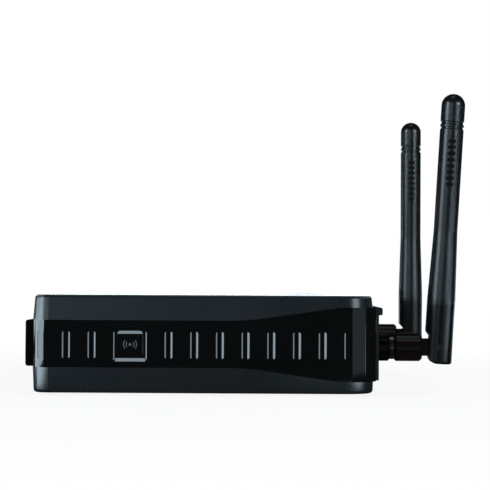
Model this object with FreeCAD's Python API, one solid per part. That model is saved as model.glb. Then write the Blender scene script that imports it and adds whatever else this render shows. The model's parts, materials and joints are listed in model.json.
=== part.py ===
"""Desktop wireless network unit: a flat two-shell plastic case with a flared trim band round its sides, a
front lens, a rear socket panel, and two swivelling, tilting whip antennas that screw onto threaded jacks.

Millimetres. X runs across the case, Y from the front lens to the rear sockets, Z up. The origin lies on the
surface that the rubber feet stand on, under the middle of the case. "Right" is the +X side.
"""

import math
import os

import FreeCAD
import Part
from FreeCAD import Placement, Rotation, Vector

# Case
HALF_WIDTH = 80.0
HALF_DEPTH = 59.4
CASE_BOTTOM = 1.0
CASE_TOP = 34.9
FRONT_RADIUS = 6.0
REAR_RADIUS = 10.0
WALL = 2.0
TOP_DRAFT = 0.8
BOTTOM_DRAFT = 0.4
TOP_EDGE_FILLET = 1.3
BOTTOM_EDGE_FILLET = 1.2
SEAM = 0.12  # gap that shows between two case pieces

# Trim band: level at the front, flaring towards the rear
BAND_MID = 18.0
BAND_HALF_FRONT = 8.1
BAND_HALF_REAR = 12.75
FLARE_START = 15.1
FLARE_END = 47.3
FLARE_START_RADIUS = 82.0
FLARE_END_RADIUS = 34.0
TRIM_WALL = 1.8
TRIM_REAR_PROUD = 0.6
LIP_WALL = 1.05
LIP_REACH = 2.0

# Recessed ribs along the trim, and the button that takes the place of two of them
RIB_PITCH = 8.85
RIB_FIRST = -56.14
RIB_COUNT = 13
RIB_WIDTH = 2.68
RIB_HEIGHT = 9.4
RIB_MID = 17.6
RIB_DEPTHS = (0.3, 0.54)  # at the foot of its front wall and of its rear wall
RIB_WALL_LEAN = 1.33  # how far a rib's long walls lean in for each millimetre of depth
BUTTON_RIBS = (3, 4)
BUTTON_MID = 17.3
BUTTON_WIDTH = 9.0
BUTTON_LOW = -4.1  # its lower and upper edge, from its middle
BUTTON_HIGH = 5.2
BUTTON_SUNK = 0.1
BUTTON_BEVEL = 1.1
BUTTON_GAP = 0.1
MOAT_WIDTH = 11.5
MOAT_HEIGHT = 10.7
MOAT_DEPTH = 0.265
MOAT_SIDE_LEAN = 1.33
MOAT_LOW_LEAN = 4.25
CORNER_START = 51.5  # y where the first of the two flats at a trim's rear corner begins
CORNER_BREAK = 56.1  # and y where it meets the second
CORNER_SLOPES = (21.0, 50.0)  # degrees that the flats turn from the side

# Front lens and rear panel
LENS_HALF = HALF_WIDTH - FRONT_RADIUS
LENS_FACE = -62.2
LENS_BACK = -55.4
PANEL_HALF = HALF_WIDTH - REAR_RADIUS
PANEL_FACE = 61.2
PANEL_WALL = 2.0
PANEL_BACK = 55.3
VISOR_FACE = 62.5
VISOR_HEIGHT = 2.6
FLANGE = 1.4  # how far the lens and the rear panel reach behind the shells

# Circuit board
BOARD_BOTTOM = 6.0
BOARD_TOP = 7.6
BOARD_HALF = 66.0
BOARD_FRONT = -52.0
BOARD_REAR = 54.5

# Network sockets
SOCKET_PITCH = 14.0
SOCKET_BODY_HEIGHT = 13.6
SOCKET_FRONT = 61.0
SOCKET_BACK = 41.8
SOCKET_HOLE_WIDTH = 12.0
SOCKET_HOLE_LOW = 11.6
SOCKET_HOLE_HIGH = 18.9
SOCKET_HOLE_DEPTH = 13.5
WAN_MIDDLE = 15.6
LAN_MIDDLE = -23.0
LAN_COUNT = 4
SHIELD_SHEET = 0.3
CONTACTS = 8
CONTACT_PITCH = 1.016

# Power inlet, power button and reset button
INLET_X = 46.0
POWER_X = 35.6
RESET_X = 27.4
CONTROL_Z = 14.0

# Screws, feet and wall hooks
POST_X = 71.5
POST_FRONT_Y = -45.0
POST_REAR_Y = 40.0
POST_SPLIT = 17.6
POST_RADIUS = 3.4
BOARD_SCREW_X = 57.0
BOARD_SCREW_YS = (-42.0, 18.0)
FOOT_X = 54.0
FOOT_Y = 38.0
FOOT_RADIUS = 6.0
KEYHOLE_X = 45.0
KEYHOLE_RADIUS = 3.75
KEYHOLE_SLOT = 4.5
KEYHOLE_RUN = 7.5

# Antennas
ANTENNA_X = 60.0
ANTENNA_Z = 16.7
HINGE_Y = 82.9
RIGHT_LEAN = 3.4  # degrees that the right mast leans back from upright
POCKET_RADIUS = 6.75
POCKET_FLOOR = 56.4
JACK_END = 63.4
THREAD_RADIUS = 3.175
NUT_START = 58.9
NUT_END = 65.4
NUT_RADIUS = 4.95
NUT_RIDGES = 36
SLEEVE_START = 67.0
SLEEVE_END = 76.9
SLEEVE_RADIUS = 5.0
TONGUE_HALF_THICK = 1.85
TONGUE_HALF_HIGH = 3.05
PIN_RADIUS = 1.0
BASE_RADIUS = 5.0
BASE_LOW = -5.85
SEAM_HEIGHT = 15.1
TAPER_END = 41.0
GRIP_FIRST = 57.7  # lowest of the recessed bars on the mast's outer side
GRIP_PITCH = 2.2
GRIP_COUNT = 8
MAST_RADIUS = 4.2
MAST_TOP = 80.0
ANTENNA_TIP = 90.2

OUT = "parts"
X = Vector(1, 0, 0)
Y = Vector(0, 1, 0)
Z = Vector(0, 0, 1)


def save(name, *shapes):
    """Writes one node. Several shapes stay separate solids of that node."""
    solids = [solid for shape in shapes for solid in shape.Solids]
    for solid in solids:
        if not solid.isValid():
            print("INVALID SOLID in", name)
    node = solids[0] if len(solids) == 1 else Part.makeCompound(solids)
    node.exportStep(os.path.join(OUT, name + ".step"))


def box(x0, x1, y0, y1, z0, z1):
    return Part.makeBox(x1 - x0, y1 - y0, z1 - z0, Vector(x0, y0, z0))


def rod(radius, start, end):
    """Cylinder between two points."""
    along = Vector(*end) - Vector(*start)
    return Part.makeCylinder(radius, along.Length, Vector(*start), along)


def fuse(first, *others):
    return first.multiFuse(list(others)).removeSplitter()


def mirrored(shape):
    return shape.mirror(Vector(0, 0, 0), X)


def rounded(shape, radius, chosen):
    """Fillets the edges that chosen(edge) picks."""
    return shape.makeFillet(radius, [edge for edge in shape.Edges if chosen(edge)])


def chamfered(shape, size, chosen):
    return shape.makeChamfer(size, [edge for edge in shape.Edges if chosen(edge)])


def runs_along(edge, axis):
    """True for a straight edge parallel to axis."""
    return isinstance(edge.Curve, Part.Line) and abs(edge.Curve.Direction.dot(axis)) > 0.999


def rounded_box(x0, x1, y0, y1, z0, z1, radius, axis):
    """Box whose four edges along axis are round."""
    return rounded(box(x0, x1, y0, y1, z0, z1), radius, lambda edge: runs_along(edge, axis))


def corner_arc(middle, radius, from_degrees, z):
    """Quarter circle in a level plane."""
    circle = Part.Circle(Vector(middle[0], middle[1], z), Z, radius)
    start = math.radians(from_degrees)
    return Part.Arc(circle, start, start + math.pi / 2).toShape()


def plan_outline(inset, z, rear_proud=0.0):
    """The case's outline seen from above, moved in by inset, with round corners."""
    half = HALF_WIDTH - inset
    front = -HALF_DEPTH + inset
    rear = HALF_DEPTH + rear_proud - inset
    small = FRONT_RADIUS - inset
    large = REAR_RADIUS + rear_proud - inset
    arcs = [
        corner_arc((half - large, rear - large), large, 0, z),
        corner_arc((-half + large, rear - large), large, 90, z),
        corner_arc((-half + small, front + small), small, 180, z),
        corner_arc((half - small, front + small), small, 270, z),
    ]
    edges = []
    for arc, following in zip(arcs, arcs[1:] + arcs[:1]):
        edges.append(arc)
        edges.append(Part.makeLine(arc.Vertexes[-1].Point, following.Vertexes[0].Point))
    return Part.Wire(edges)


def prism(wire, vector):
    return Part.Face(wire).extrude(vector)


def plan_prism(inset, z0, z1, rear_proud=0.0):
    return prism(plan_outline(inset, z0, rear_proud), Vector(0, 0, z1 - z0))


def case_block():
    """The drafted case volume: upright behind the band and leaning in above and below it."""
    sections = [
        plan_outline(BOTTOM_DRAFT, CASE_BOTTOM),
        plan_outline(0, BAND_MID - BAND_HALF_FRONT),
        plan_outline(0, BAND_MID + BAND_HALF_FRONT),
        plan_outline(TOP_DRAFT, CASE_TOP),
    ]
    return Part.makeLoft(sections, True, True)


def bent_path(points, radii):
    """Straight runs through points, joined by tangent arcs of the given radii at the inner points."""
    edges = []
    last = points[0]
    for before, corner, after, radius in zip(points, points[1:], points[2:], radii):
        arriving = (corner - before).normalize()
        leaving = (after - corner).normalize()
        half_turn = arriving.getAngle(leaving) / 2
        reach = radius * math.tan(half_turn)
        start = corner - arriving * reach
        end = corner + leaving * reach
        inward = (leaving - arriving).normalize()
        middle = corner + inward * (radius / math.cos(half_turn) - radius)
        edges.append(Part.makeLine(last, start))
        edges.append(Part.Arc(start, middle, end).toShape())
        last = end
    edges.append(Part.makeLine(last, points[-1]))
    return edges


def above_band(gap):
    """Everything above the band's upper edge, or below its lower edge when gap is negative."""
    side = math.copysign(1.0, gap)
    reach = 100.0
    front = BAND_MID + side * BAND_HALF_FRONT + gap
    rear = BAND_MID + side * BAND_HALF_REAR + gap
    outer = BAND_MID + side * 40.0
    points = [
        Vector(-reach, -reach, front),
        Vector(-reach, FLARE_START, front),
        Vector(-reach, FLARE_END, rear),
        Vector(-reach, reach, rear),
    ]
    edges = bent_path(points, [FLARE_START_RADIUS, FLARE_END_RADIUS])
    far = [Vector(-reach, reach, outer), Vector(-reach, -reach, outer)]
    edges.append(Part.makeLine(points[-1], far[0]))
    edges.append(Part.makeLine(far[0], far[1]))
    edges.append(Part.makeLine(far[1], points[0]))
    return prism(Part.Wire(edges), Vector(2 * reach, 0, 0))


def stadium(width, height, radius):
    """Rounded rectangle in the XY plane about the origin."""
    radius = min(radius, width / 2 - 0.001, height / 2 - 0.001)
    right, top = width / 2 - radius, height / 2 - radius
    arcs = []
    for x, y, start in ((right, top, 0), (-right, top, 90), (-right, -top, 180), (right, -top, 270)):
        arcs.append(corner_arc((x, y), radius, start, 0))
    edges = []
    for arc, following in zip(arcs, arcs[1:] + arcs[:1]):
        edges.append(arc)
        edges.append(Part.makeLine(arc.Vertexes[-1].Point, following.Vertexes[0].Point))
    return Part.Wire(edges)


def slot_through(x, y, width, length, z0, z1):
    """Upright cutter for a round-ended slot that runs along Y."""
    cutter = prism(stadium(width, length, width / 2), Vector(0, 0, z1 - z0))
    cutter.translate(Vector(x, y, z0))
    return cutter


def dish(width, height, radius, depth, leans):
    """Cutter for a recess that sinks along -Z from the XY plane. A lean is how far a wall leans in for each
    millimetre of depth, for the walls at -X, +X, -Y and +Y in turn."""
    left, right, low, high = leans
    outlines = []
    for sunk, corner in ((-0.4, radius + 0.4 * min(leans)), (depth, max(radius - depth * max(leans), 0.25))):
        outline = stadium(width - sunk * (left + right), height - sunk * (low + high), corner)
        outline.translate(Vector(sunk * (left - right) / 2, sunk * (low - high) / 2, -sunk))
        outlines.append(outline)
    return Part.makeLoft(outlines, True, True)


def on_side(shape, point, turn):
    """Puts a shape made on the XY plane onto an upright wall: its +Z faces +X turned about Z by turn degrees,
    and its Y stays upright."""
    placed = shape.copy()
    placed.Placement = Placement(Vector(*point), side_rotation(turn))
    return placed


def side_rotation(turn):
    """Rotation that takes X to Y, Y to Z and Z to X, then turns about Z."""
    cyclic = Rotation(Vector(1, 1, 1), 120)
    return Rotation(Z, turn).multiply(cyclic)


def ring(outer, inner, start, end, x=0.0, z=0.0):
    """Tube along Y between two Y values."""
    tube = rod(outer, (x, start, z), (x, end, z))
    return tube.cut(rod(inner, (x, start - 1, z), (x, end + 1, z)))


def band_ring(inset_out, inset_in, gap, reach):
    """Strip of wall that follows the band's upper edge (gap positive) or lower edge (gap negative), from
    reach beyond the edge on the band's side to 1.5 on the shell's side."""
    side = math.copysign(1.0, gap)
    wall = plan_prism(inset_out, CASE_BOTTOM, CASE_TOP).cut(plan_prism(inset_in, 0, 40))
    strip = above_band(gap).copy()
    strip.translate(Vector(0, 0, -side * reach))
    beyond = above_band(gap).copy()
    beyond.translate(Vector(0, 0, side * 1.5))
    return wall.common(strip).cut(beyond)


# ---------------------------------------------------------------- case shells


def posts():
    return [(x, y) for x in (-POST_X, POST_X) for y in (POST_FRONT_Y, POST_REAR_Y)]


def side_lips(gap):
    """Tongues inside both trims that hold them in line with a shell."""
    strip = band_ring(WALL - 0.05, WALL - 0.05 + LIP_WALL, gap, LIP_REACH)
    sides = [
        box(PANEL_HALF + 1, HALF_WIDTH, -50, 44, 0, 40),
        box(-HALF_WIDTH, -PANEL_HALF - 1, -50, 44, 0, 40),
    ]
    return [strip.common(side) for side in sides]


def top_shell():
    outer = case_block()
    outer = rounded(outer, TOP_EDGE_FILLET, lambda e: e.BoundBox.ZMin > CASE_TOP - 0.01)
    shell = outer.common(above_band(SEAM / 2))
    shell = shell.cut(plan_prism(WALL + TOP_DRAFT, CASE_BOTTOM, CASE_TOP - WALL))
    bosses = [rod(POST_RADIUS, (x, y, POST_SPLIT), (x, y, CASE_TOP - WALL + 0.5)) for x, y in posts()]
    shell = fuse(shell, *side_lips(SEAM / 2), *bosses)
    cutters = [rod(1.55, (x, y, POST_SPLIT - 1), (x, y, 27)) for x, y in posts()]
    for i in range(-6, 7):
        cutters.append(slot_through(i * RIB_PITCH, 36.0, 2.4, 15.0, CASE_TOP - 4, CASE_TOP + 1))
    return shell.cut(Part.makeCompound(cutters))


def keyhole(x):
    """Wall hook: the screw head enters the round end, and the case drops until its neck is in the slot."""
    entry = rod(KEYHOLE_RADIUS, (x, 0, CASE_BOTTOM - 1), (x, 0, CASE_BOTTOM + 4))
    neck = box(x - KEYHOLE_SLOT / 2, x + KEYHOLE_SLOT / 2, 0, KEYHOLE_RUN, CASE_BOTTOM - 1, CASE_BOTTOM + 4)
    end = rod(KEYHOLE_SLOT / 2, (x, KEYHOLE_RUN, CASE_BOTTOM - 1), (x, KEYHOLE_RUN, CASE_BOTTOM + 4))
    return fuse(entry, neck, end)


def foot_places():
    return [(x, y) for x in (-FOOT_X, FOOT_X) for y in (-FOOT_Y, FOOT_Y)]


def board_screw_places():
    return [(x, y) for x in (-BOARD_SCREW_X, BOARD_SCREW_X) for y in BOARD_SCREW_YS]


def bottom_shell():
    outer = case_block()
    outer = rounded(outer, BOTTOM_EDGE_FILLET, lambda e: e.BoundBox.ZMax < CASE_BOTTOM + 0.01)
    shell = outer.common(above_band(-SEAM / 2))
    floor = CASE_BOTTOM + WALL
    shell = shell.cut(plan_prism(WALL + BOTTOM_DRAFT, floor, CASE_TOP))
    pillars = [rod(POST_RADIUS, (x, y, floor - 0.5), (x, y, POST_SPLIT - 0.1)) for x, y in posts()]
    spacers = [rod(3.0, (x, y, floor - 0.5), (x, y, BOARD_BOTTOM)) for x, y in board_screw_places()]
    shell = fuse(shell, *side_lips(-SEAM / 2), *pillars, *spacers)
    cutters = [keyhole(-KEYHOLE_X), keyhole(KEYHOLE_X)]
    for x, y in posts():
        cutters.append(rod(3.1, (x, y, 0), (x, y, 7.0)))
        cutters.append(rod(1.6, (x, y, 6), (x, y, POST_SPLIT + 1)))
    for x, y in board_screw_places():
        cutters.append(rod(1.3, (x, y, floor - 1.0), (x, y, BOARD_BOTTOM + 1)))
    for x, y in foot_places():
        cutters.append(rod(FOOT_RADIUS + 0.2, (x, y, 0), (x, y, CASE_BOTTOM + 0.6)))
    for row_y in (-32.0, 32.0):
        for i in range(-4, 5):
            cutters.append(slot_through(i * RIB_PITCH, row_y, 2.2, 14.0, 0, floor + 1))
    return shell.cut(Part.makeCompound(cutters))


# ---------------------------------------------------------------- trims and their button


def rib_places():
    """(y, index) of every rib along a side."""
    return [(RIB_FIRST + RIB_PITCH * i, i) for i in range(RIB_COUNT)]


def button_y():
    return RIB_FIRST + RIB_PITCH * sum(BUTTON_RIBS) / len(BUTTON_RIBS)


def front_wall_point(y):
    """(x, turn) of the trim's outer face at y: its place and how far its normal turns from +X."""
    tangent = -HALF_DEPTH + FRONT_RADIUS
    if y >= tangent:
        return HALF_WIDTH, 0.0
    turn = math.asin((y - tangent) / FRONT_RADIUS)
    return HALF_WIDTH - FRONT_RADIUS + FRONT_RADIUS * math.cos(turn), math.degrees(turn)


def rear_corner():
    """Block with the trim's outer shape behind its middle: the side, two flats at the corner, the rear."""
    rear = HALF_DEPTH + TRIM_REAR_PROUD
    first, second = (math.tan(math.radians(slope)) for slope in CORNER_SLOPES)
    break_x = HALF_WIDTH - (CORNER_BREAK - CORNER_START) * first
    points = [
        (HALF_WIDTH, 0),
        (HALF_WIDTH, CORNER_START),
        (break_x, CORNER_BREAK),
        (break_x - (rear - CORNER_BREAK) * second, rear),
        (60, rear),
        (60, 0),
    ]
    corners = [Vector(x, y, 0) for x, y in points]
    block = prism(Part.makePolygon(corners + corners[:1]), Vector(0, 0, 40))
    return rounded(block, 0.3, lambda e: runs_along(e, Z) and e.BoundBox.YMin > 55 and e.BoundBox.XMin > 61)


def plain_trim():
    """The +X trim before anything is cut into it."""
    front = plan_prism(0, 0, 40).common(box(LENS_HALF + SEAM, HALF_WIDTH + 5, -70, 0, 0, 40))
    rear = rear_corner().common(box(PANEL_HALF + SEAM, HALF_WIDTH + 5, 0, 70, 0, 40))
    wall = fuse(front, rear).cut(plan_prism(TRIM_WALL, -1, 41, TRIM_REAR_PROUD))
    return wall.cut(above_band(-SEAM / 2)).cut(above_band(SEAM / 2))


def rib_cutter(front_lean, rear_lean):
    """Cutter for a rib that sinks along -Z from the XY plane, deeper at its rear wall (+X)."""
    half = RIB_WIDTH / 2
    front, rear = RIB_DEPTHS
    above = 0.4
    section = [
        (-half - above * front_lean, above),
        (-half + front * front_lean, -front),
        (half - rear * rear_lean, -rear),
        (half + above * rear_lean, above),
    ]
    corners = [Vector(across, -RIB_HEIGHT / 2 - 1, up) for across, up in section]
    block = prism(Part.makePolygon(corners + corners[:1]), Vector(0, RIB_HEIGHT + 2, 0))
    outline = prism(stadium(RIB_WIDTH + 0.1, RIB_HEIGHT, 0.9), Vector(0, 0, 2))
    outline.translate(Vector(0, 0, -1))
    return block.common(outline)


def trim(has_button):
    piece = plain_trim()
    cutters = []
    for y, i in rib_places():
        if has_button and i in BUTTON_RIBS:
            continue
        x, turn = front_wall_point(y)
        front_lean = 0.05 if i == 0 else RIB_WALL_LEAN
        rear_lean = 0.05 if i == RIB_COUNT - 1 else RIB_WALL_LEAN
        cutters.append(on_side(rib_cutter(front_lean, rear_lean), (x, y, RIB_MID), turn))
    if has_button:
        leans = (MOAT_SIDE_LEAN, MOAT_SIDE_LEAN, MOAT_LOW_LEAN, 0.15)
        moat = dish(MOAT_WIDTH, MOAT_HEIGHT, 1.5, MOAT_DEPTH, leans)
        cutters.append(on_side(moat, (HALF_WIDTH, button_y(), BUTTON_MID), 0))
        cutters.append(button_prism(BUTTON_GAP, HALF_WIDTH - 5, HALF_WIDTH + 1))
    for cutter in cutters:
        piece = piece.cut(cutter)
    return piece


def button_prism(gap, x0, x1):
    """The button's outline, wider by gap all round, drawn out along X."""
    outline = stadium(BUTTON_WIDTH + 2 * gap, BUTTON_HIGH - BUTTON_LOW + 2 * gap, 1.2 + gap)
    place = (x0, button_y(), BUTTON_MID + (BUTTON_LOW + BUTTON_HIGH) / 2)
    return on_side(prism(outline, Vector(0, 0, x1 - x0)), place, 0)


def pairing_button():
    """Square cap in the right trim, bevelled along its top, with the arm that reaches down to its switch."""
    y, z = button_y(), BUTTON_MID
    half = BUTTON_WIDTH / 2
    back = HALF_WIDTH - 2.4
    face = HALF_WIDTH - BUTTON_SUNK
    crease = z + BUTTON_HIGH + BUTTON_GAP - BUTTON_BEVEL
    corners = [
        Vector(face, y - 6, crease),
        Vector(face - 2 / MOAT_LOW_LEAN, y - 6, crease + 2),
        Vector(face + 1, y - 6, crease + 2),
        Vector(face + 1, y - 6, crease),
    ]
    bevel = prism(Part.makePolygon(corners + corners[:1]), Vector(0, 12, 0))
    cap = button_prism(0, back, face)
    cap = rounded(cap, 0.25, lambda e: e.BoundBox.XMin > face - 0.01).cut(bevel)
    low, high = z + BUTTON_LOW - 0.8, z + BUTTON_HIGH + 0.5
    flange = rounded_box(back - 1.0, back, y - half - 0.8, y + half + 0.8, low, high, 1.0, X)
    neck = box(72.5, back - 0.5, y - 1.5, y + 1.5, z - 1.8, z + 1.8)
    drop = box(72.5, 74.5, y - 1.5, y + 1.5, 9.6, z + 1.8)
    toe = box(68.3, 73.0, y - 1.5, y + 1.5, 9.6, 12.2)
    return fuse(cap, flange, neck, drop, toe)


def pairing_plunger():
    return rod(1.0, (65.6, button_y(), 10.9), (68.2, button_y(), 10.9))


def pairing_switch():
    """Side-pressed switch on the board's edge."""
    y = button_y()
    body = box(60.2, 65.9, y - 3.1, y + 3.1, BOARD_TOP, 13.4)
    body = body.cut(rod(1.1, (64.6, y, 10.9), (68.0, y, 10.9)))
    legs = []
    for leg_y in (y - 3.1, y + 3.1):
        legs.append(box(61.2, 62.4, leg_y - 0.3, leg_y + 0.3, BOARD_BOTTOM - 0.6, BOARD_TOP + 2))
    return fuse(body, *legs)


# ---------------------------------------------------------------- front and rear


def led_places():
    return [11.0 * (i - 3.5) for i in range(8)]


def front_lens():
    low = BAND_MID - BAND_HALF_FRONT + SEAM / 2
    high = BAND_MID + BAND_HALF_FRONT - SEAM / 2
    lens = box(-LENS_HALF, LENS_HALF, LENS_FACE, LENS_BACK, low, high)
    lens = rounded(lens, 1.1, lambda e: e.BoundBox.YMax < LENS_FACE + 0.01)
    flange = box(-LENS_HALF + 2, LENS_HALF - 2, LENS_BACK - 1.1, LENS_BACK, low - FLANGE, high + FLANGE)
    lens = fuse(lens, flange)
    windows = [box(x - 1.6, x + 1.6, LENS_FACE + 2.0, LENS_BACK + 1, 15.9, 19.9) for x in led_places()]
    return lens.cut(Part.makeCompound(windows))


def light_guide():
    """Comb of clear prongs that carry light from the board's lamps to the lens."""
    bar = box(-42, 42, -51.4, -49.4, 18.0, 20.2)
    prongs = []
    for x in led_places():
        prongs.append(box(x - 1.2, x + 1.2, LENS_FACE + 2.6, -50.0, 16.6, 19.2))
        prongs.append(box(x - 1.0, x + 1.0, -51.4, -49.4, 9.2, 19.0))
    return fuse(bar, *prongs)


def indicator_lamps():
    return [box(x - 1.0, x + 1.0, -51.2, -49.6, BOARD_TOP, BOARD_TOP + 0.9) for x in led_places()]


def lan_places():
    return [LAN_MIDDLE + SOCKET_PITCH * (i - (LAN_COUNT - 1) / 2) for i in range(LAN_COUNT)]


def socket_body(places):
    """Plastic block of side by side network sockets, each open at the rear with its latch notch below."""
    x0 = min(places) - SOCKET_PITCH / 2 - 0.5
    x1 = max(places) + SOCKET_PITCH / 2 + 0.5
    body = box(x0, x1, SOCKET_BACK, SOCKET_FRONT, BOARD_TOP, BOARD_TOP + SOCKET_BODY_HEIGHT)
    inner_end = SOCKET_FRONT - SOCKET_HOLE_DEPTH
    half = SOCKET_HOLE_WIDTH / 2
    cutters = []
    for x in places:
        outside = SOCKET_FRONT + 1
        cutters.append(box(x - half, x + half, inner_end, outside, SOCKET_HOLE_LOW, SOCKET_HOLE_HIGH))
        cutters.append(box(x - 3.1, x + 3.1, inner_end, outside, 10.1, SOCKET_HOLE_LOW + 0.5))
        cutters.append(box(x - 1.7, x + 1.7, inner_end + 5, outside, 8.9, 10.6))
    return body.cut(Part.makeCompound(cutters))


def socket_shield(places):
    """Folded tin cover over a socket block: top, sides and back."""
    x0 = min(places) - SOCKET_PITCH / 2 - 0.5
    x1 = max(places) + SOCKET_PITCH / 2 + 0.5
    top = BOARD_TOP + SOCKET_BODY_HEIGHT
    sheet = SHIELD_SHEET
    cover = box(x0 - sheet, x1 + sheet, SOCKET_BACK - sheet, SOCKET_FRONT, BOARD_TOP, top + sheet)
    return cover.cut(box(x0, x1, SOCKET_BACK, SOCKET_FRONT + 1, BOARD_TOP - 1, top))


def socket_contacts(places):
    """Eight sprung gold wires hanging from the roof of each socket."""
    wires = []
    deep = SOCKET_FRONT - SOCKET_HOLE_DEPTH
    roof = SOCKET_HOLE_HIGH
    thick = 0.32
    bottom = [(deep, roof - 2.3), (deep + 3.0, roof - 2.3), (SOCKET_FRONT - 3.2, roof - 0.55)]
    upper = [(y, z + thick) for y, z in reversed(bottom)]
    for x in places:
        for i in range(CONTACTS):
            left = x + CONTACT_PITCH * (i - (CONTACTS - 1) / 2) - thick / 2
            outline = [Vector(left, y, z) for y, z in bottom + upper]
            wires.append(prism(Part.makePolygon(outline + outline[:1]), Vector(thick, 0, 0)))
    return wires


def rear_panel():
    low = BAND_MID - BAND_HALF_REAR + SEAM / 2
    high = BAND_MID + BAND_HALF_REAR - SEAM / 2
    plate = box(-PANEL_HALF, PANEL_HALF, PANEL_FACE - PANEL_WALL, PANEL_FACE, low, high)
    visor = box(-PANEL_HALF, PANEL_HALF, PANEL_FACE - PANEL_WALL, VISOR_FACE, high - VISOR_HEIGHT, high)
    wide = PANEL_HALF - 0.1
    web = box(-wide, wide, PANEL_BACK, PANEL_FACE - PANEL_WALL + 0.1, low, high)
    flange = box(-wide, wide, PANEL_BACK, PANEL_BACK + 1.2, low - FLANGE, high + FLANGE)
    hollow = box(-PANEL_HALF + 1.6, PANEL_HALF - 1.6, PANEL_BACK - 1, PANEL_FACE, low + 1.5, high - 1.5)
    rim = fuse(web, flange).cut(hollow)
    cups = [
        rod(POCKET_RADIUS + 1.5, (x, POCKET_FLOOR - 1.6, ANTENNA_Z), (x, PANEL_FACE - 0.5, ANTENNA_Z))
        for x in (-ANTENNA_X, ANTENNA_X)
    ]
    panel = fuse(plate, visor, rim, *cups)
    panel = rounded(panel, 0.5, lambda e: runs_along(e, X) and e.BoundBox.YMin > VISOR_FACE - 0.01)
    cutters = []
    for x in (-ANTENNA_X, ANTENNA_X):
        cutters.append(rod(POCKET_RADIUS, (x, POCKET_FLOOR, ANTENNA_Z), (x, PANEL_FACE + 3, ANTENNA_Z)))
        cutters.append(rod(THREAD_RADIUS + 0.1, (x, 50, ANTENNA_Z), (x, PANEL_FACE, ANTENNA_Z)))
    for places in ([WAN_MIDDLE], lan_places()):
        half = SOCKET_PITCH / 2 + 0.5 + SHIELD_SHEET + 0.15
        top = BOARD_TOP + SOCKET_BODY_HEIGHT + SHIELD_SHEET + 0.15
        cutters.append(box(min(places) - half, max(places) + half, 50, 70, BOARD_TOP - 0.15, top))
    cutters.append(rod(4.1, (INLET_X, 50, CONTROL_Z), (INLET_X, 70, CONTROL_Z)))
    low, high = CONTROL_Z - 3.4, CONTROL_Z + 3.4
    cutters.append(rounded_box(POWER_X - 3.4, POWER_X + 3.4, 50, 70, low, high, 0.8, Y))
    cutters.append(rod(1.3, (RESET_X, 50, CONTROL_Z), (RESET_X, 70, CONTROL_Z)))
    for i in range(-6, 7):
        cutters.append(rounded_box(i * 7.0 - 0.9, i * 7.0 + 0.9, 50, 61, 23.2, 27.0, 0.85, Y))
    return panel.cut(Part.makeCompound(cutters))


def power_inlet():
    """Barrel socket for the supply's plug."""
    body = box(INLET_X - 4.5, INLET_X + 4.5, 46.0, 59.0, BOARD_TOP, CONTROL_Z + 5.0)
    barrel = rod(3.9, (INLET_X, 58, CONTROL_Z), (INLET_X, PANEL_FACE, CONTROL_Z))
    bore = rod(2.85, (INLET_X, 50.5, CONTROL_Z), (INLET_X, 63, CONTROL_Z))

    def is_mouth(edge):
        return isinstance(edge.Curve, Part.Circle) and edge.BoundBox.YMin > PANEL_FACE - 0.01

    return chamfered(fuse(body, barrel).cut(bore), 0.25, lambda e: is_mouth(e) and e.Curve.Radius < 3)


def power_inlet_pin():
    pin = rod(1.0, (INLET_X, 50.5, CONTROL_Z), (INLET_X, 59.8, CONTROL_Z))
    return rounded(pin, 0.35, lambda e: e.BoundBox.YMin > 59.7)


def power_switch():
    body = box(POWER_X - 4.2, POWER_X + 4.2, 44.5, 58.2, BOARD_TOP, CONTROL_Z + 4.2)
    return body.cut(box(POWER_X - 2.2, POWER_X + 2.2, 50.0, 60, CONTROL_Z - 2.2, CONTROL_Z + 2.2))


def power_button():
    cap = rounded_box(POWER_X - 3.1, POWER_X + 3.1, 60.4, 63.6, CONTROL_Z - 3.1, CONTROL_Z + 3.1, 0.7, Y)
    cap = rounded(cap, 0.5, lambda e: e.BoundBox.YMin > 63.5)
    stem = box(POWER_X - 2.0, POWER_X + 2.0, 53.0, 60.6, CONTROL_Z - 2.0, CONTROL_Z + 2.0)
    return fuse(cap, stem)


def reset_switch():
    body = box(RESET_X - 3.0, RESET_X + 3.0, 51.2, 55.0, BOARD_TOP, CONTROL_Z + 2.6)
    return body.cut(rod(1.0, (RESET_X, 53.0, CONTROL_Z), (RESET_X, 56, CONTROL_Z)))


def reset_button():
    return rod(0.9, (RESET_X, 53.6, CONTROL_Z), (RESET_X, 59.6, CONTROL_Z))


# ---------------------------------------------------------------- circuit board and what is on it


def circuit_board():
    """Board with its screw holes, room for the case's posts, and holes for the pairing switch's legs."""
    outline = (-BOARD_HALF, BOARD_HALF, BOARD_FRONT, BOARD_REAR, BOARD_BOTTOM, BOARD_TOP)
    board = rounded_box(*outline, 2.0, Z)
    cutters = [rod(1.4, (x, y, 0), (x, y, 20)) for x, y in board_screw_places()]
    for leg_y in (button_y() - 3.1, button_y() + 3.1):
        cutters.append(box(61.0, 62.6, leg_y - 0.5, leg_y + 0.5, 0, 20))
    for x in (-BOARD_HALF - 3, BOARD_HALF + 3):
        for y in (POST_FRONT_Y, POST_REAR_Y):
            cutters.append(rod(6.2, (x, y, 0), (x, y, 20)))
    return board.cut(Part.makeCompound(cutters))


def radio_shield():
    """Perforated tin can over the radio."""
    can = rounded_box(-48, -8, -14, 22, BOARD_TOP, BOARD_TOP + 3.4, 1.0, Z)
    can = can.cut(box(-47.7, -8.3, -13.7, 21.7, BOARD_TOP - 1, BOARD_TOP + 3.1))
    holes = [
        rod(0.9, (-45 + 5 * i, -10 + 5 * j, BOARD_TOP + 2), (-45 + 5 * i, -10 + 5 * j, BOARD_TOP + 5))
        for i in range(8)
        for j in range(6)
    ]
    return can.cut(Part.makeCompound(holes))


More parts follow.
